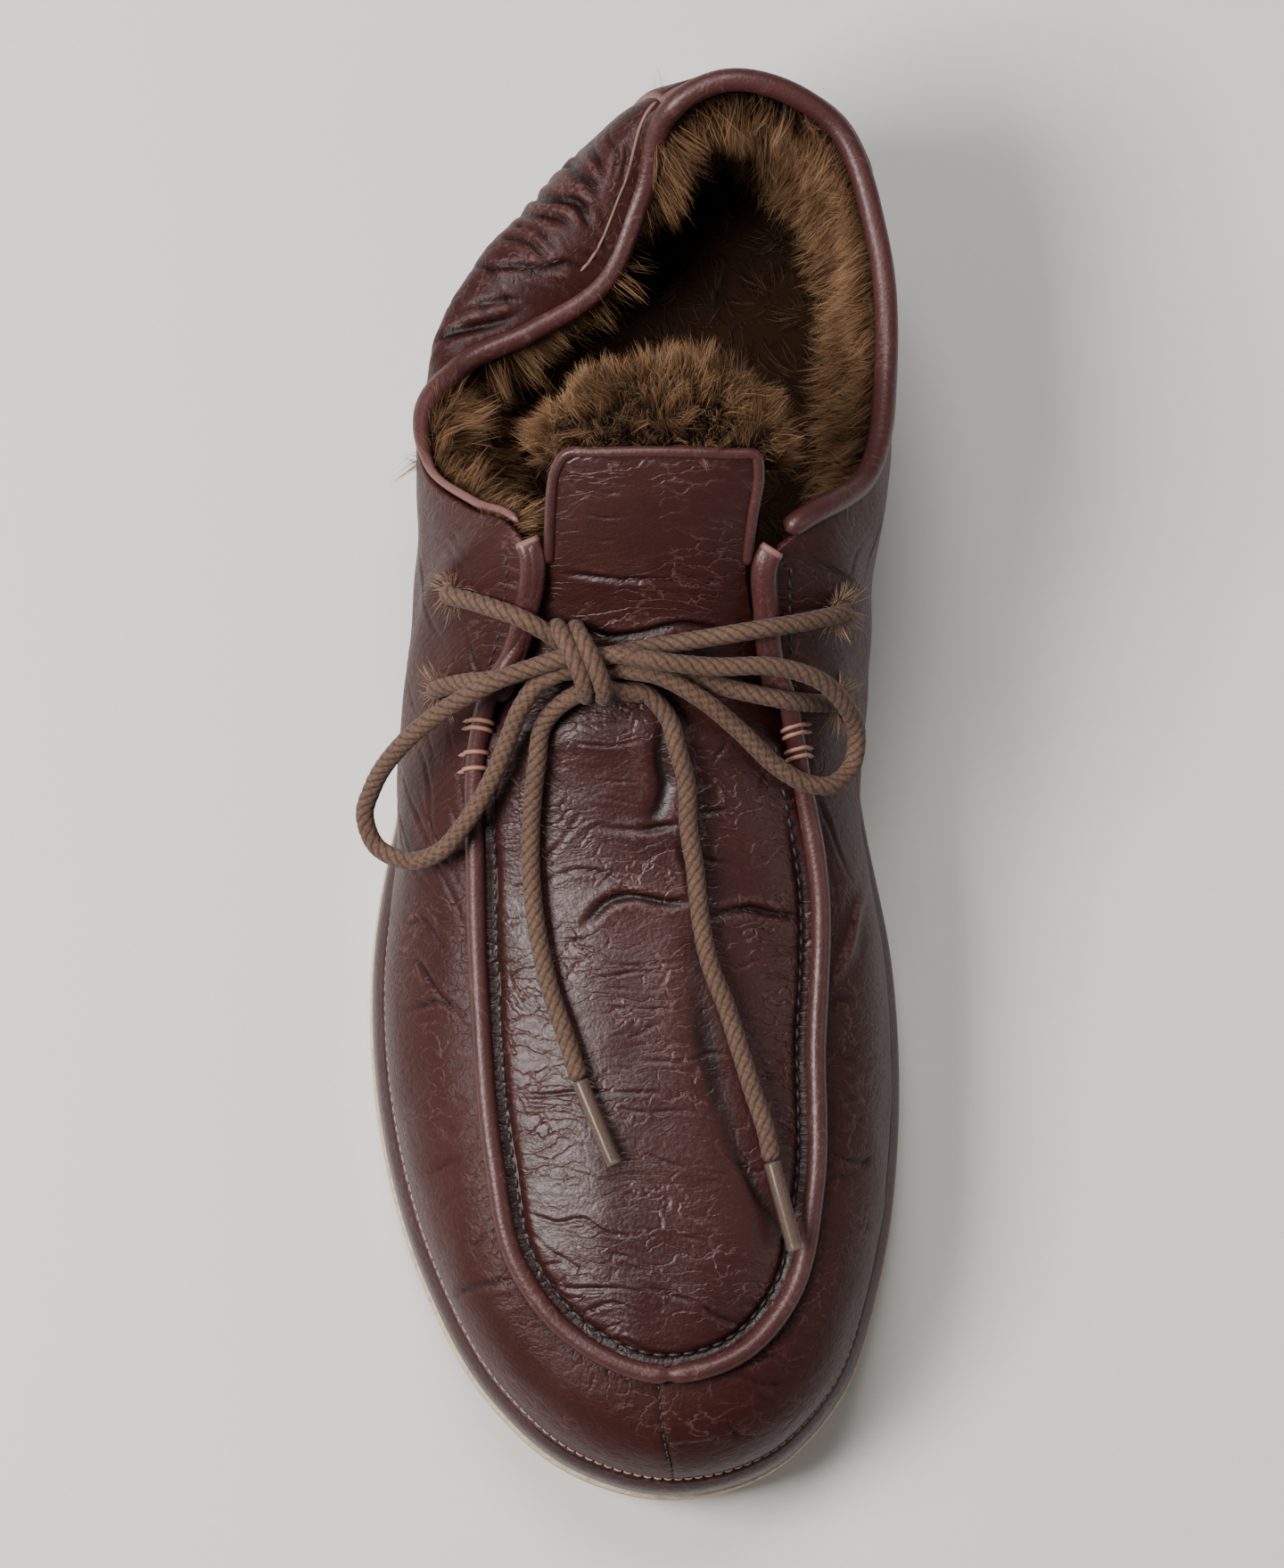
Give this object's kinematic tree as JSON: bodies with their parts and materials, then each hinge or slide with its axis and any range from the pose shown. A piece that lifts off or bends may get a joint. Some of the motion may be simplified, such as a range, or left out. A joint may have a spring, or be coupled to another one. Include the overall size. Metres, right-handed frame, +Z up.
{
  "type": "fur-lined lace-up moccasin",
  "caption": "Soft low leather moccasin shoe for the right foot, with a raised seam round the toe, a thick fur lining, a tied round lace and a flat platform sole.",
  "frame": {"origin": "on the ground under the middle of the shoe's box, measured without the bow", "axes": "+X to the shoe's inner side, +Y to the heel, -Y to the toe, +Z up"},
  "size_m": [0.1143, 0.2897, 0.1134],
  "materials": {
    "leather": "glossy creased oxblood",
    "trim": "rolled glossy piping",
    "crepe": "matt cream crepe",
    "shearling": "long brown pile",
    "lace": "round braided cord",
    "aglet": "clear sleeve"
  },
  "bodies": {
    "root": {"outsole": "crepe", "platform_wrap": "leather", "insole": "shearling", "upper": "leather", "back_strap": "leather", "tongue": "leather", "tongue_binding": "trim", "tongue_fur": "shearling", "fur_lining": "shearling", "collar_binding": "trim", "moc_piping": "trim", "lace_bars": "lace", "lace_knot": "lace", "lace_loop_outer": "lace", "lace_loop_inner": "lace", "lace_end_outer": "lace", "lace_end_inner": "lace", "aglet_outer": "aglet", "aglet_inner": "aglet"}
  },
  "joints": []
}
